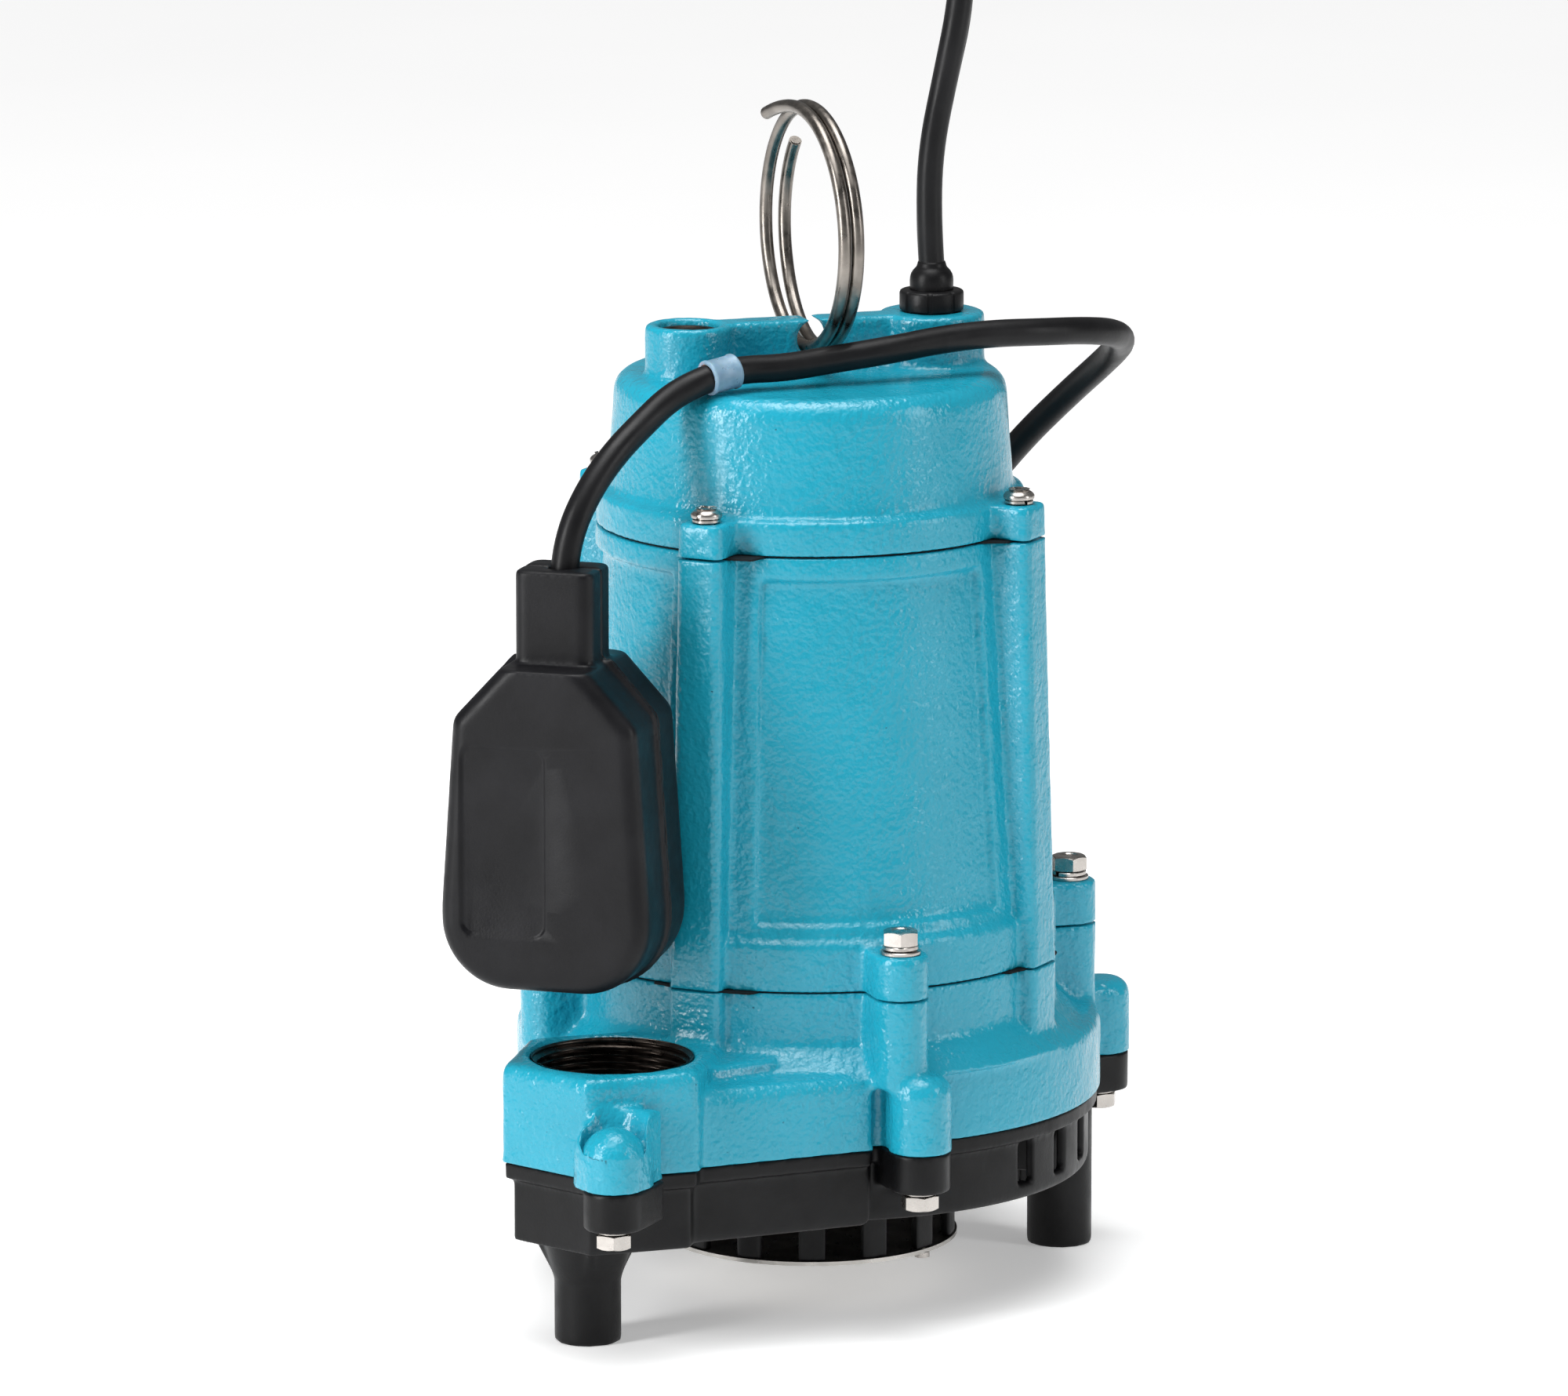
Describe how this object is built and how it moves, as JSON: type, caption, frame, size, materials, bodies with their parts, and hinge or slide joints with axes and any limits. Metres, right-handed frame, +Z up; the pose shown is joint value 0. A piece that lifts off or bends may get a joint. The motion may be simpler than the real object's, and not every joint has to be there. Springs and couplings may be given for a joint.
{
  "type": "submersible sump pump",
  "caption": "Submersible sump pump: cast motor housing and volute on a three-legged plastic intake base, with lifting ring, tethered float switch and coiled cords.",
  "frame": {"origin": "on the shaft axis at the level of the floor under the three feet (mount pit_floor)", "axes": "+Z up along the shaft; +X along the cap's lifting web towards the cord gland"},
  "size_m": [0.2677, 0.3789, 0.4442],
  "materials": {
    "blue_paint": "glossy turquoise-blue enamel over rough cast iron, fine orange peel",
    "base_plastic": "satin near-black glass-filled plastic with moulding texture",
    "gasket": "thin black sheet gasket",
    "stainless": "bright stainless, fine machining marks",
    "ring_steel": "dull drawn stainless wire",
    "strainer_steel": "thin stainless sheet with a bright cut edge",
    "shaft_steel": "ground stainless shaft",
    "bearing_steel": "polished bearing steel",
    "cage_steel": "pressed steel",
    "impeller_plastic": "brown glass-filled engineering plastic",
    "seal_ceramic": "off-white ceramic",
    "seal_carbon": "carbon face",
    "lamination": "stacked electrical steel",
    "winding": "varnished copper wire",
    "light_alloy": "die-cast aluminium",
    "bronze": "sintered bronze",
    "capacitor_case": "moulded capacitor case",
    "nylon_cap": "nylon insulation",
    "gland_plastic": "glossy black moulded plastic",
    "cord_jacket": "black rubber-like cord jacket with a faint sheen",
    "float_plastic": "matte black polypropylene with a fine moulded grain",
    "capsule_plastic": "grey moulded plastic",
    "collar_plastic": "translucent blue-grey sleeve",
    "plug_rubber": "moulded black vinyl plug",
    "blade_brass": "plated brass blades",
    "tie_fabric": "black woven hook-and-loop strap"
  },
  "bodies": {
    "root": {"motor_cap": "blue_paint", "cap_gasket": "gasket", "motor_housing": "blue_paint", "volute_gasket": "gasket", "volute": "blue_paint", "intake_base": "base_plastic", "strainer_plate": "strainer_steel", "cap_screws": "stainless", "cap_lock_washers": "stainless", "housing_bolts": "stainless", "housing_spring_washers": "stainless", "housing_flat_washers": "stainless", "base_screws": "stainless", "base_lock_washers": "stainless", "strainer_screws": "stainless", "seal_seat": "seal_ceramic", "bearing_outer_race": "bearing_steel", "bearing_circlip": "cage_steel", "stator_core": "lamination", "stator_windings": "winding", "thermal_protector": "gasket", "bearing_bracket": "light_alloy", "upper_bush": "bronze", "run_capacitor": "capacitor_case", "crimp_connectors": "nylon_cap", "boss_plug": "gland_plastic", "cord_gland_nut": "gland_plastic", "strain_relief": "cord_jacket", "gland_seal": "gasket", "power_cord": "cord_jacket", "float_cord": "cord_jacket", "power_cord_tail": "cord_jacket", "float_cord_tail": "cord_jacket", "float_cord_coil": "cord_jacket", "power_cord_coil": "cord_jacket", "power_plug": "plug_rubber", "power_plug_blades": "blade_brass", "piggyback_plug": "plug_rubber", "piggyback_plug_blades": "blade_brass", "cable_collar": "collar_plastic", "coil_ties": "tie_fabric"},
    "rotor": {"shaft": "shaft_steel", "impeller": "impeller_plastic", "impeller_nut": "stainless", "seal_head": "seal_carbon", "seal_spring": "shaft_steel", "bearing_inner_race": "bearing_steel", "rotor_core": "lamination", "rotor_end_rings": "light_alloy"},
    "cage": {"bearing_balls": "bearing_steel", "bearing_cage": "cage_steel"},
    "ring": {"lift_ring": "ring_steel"},
    "float": {"float_front_shell": "float_plastic", "float_rear_shell": "float_plastic", "switch_capsule": "capsule_plastic", "contact_pins": "blade_brass", "float_tether": "cord_jacket"},
    "ball": {"steel_ball": "bearing_steel"}
  },
  "joints": [
    {"name": "rotor_spin", "type": "hinge", "parent": "root", "child": "rotor", "pos_m": [0, 0, 0.114], "axis": [0, 0, 1], "continuous": true},
    {"name": "cage_spin", "type": "hinge", "parent": "root", "child": "cage", "pos_m": [0, 0, 0.114], "axis": [0, 0, 1], "continuous": true},
    {"name": "ring_swing", "type": "hinge", "parent": "root", "child": "ring", "pos_m": [0, 0, 0.29], "axis": [0, 1, 0], "range_deg": [-60, 22]},
    {"name": "float_swing", "type": "hinge", "parent": "root", "child": "float", "pos_m": [-0.0654, -0.0391, 0.2736], "axis": [-0.2221, 0.975, 0], "range_deg": [0, 100], "deforming": ["float_tether"]},
    {"name": "ball_roll", "type": "slide", "parent": "float", "child": "ball", "axis": [0, 0, 1], "range_m": [0, 0.0165]}
  ],
  "couplings": [
    {"joint": "cage_spin", "follows": "rotor_spin", "ratio": 0.3873}
  ]
}
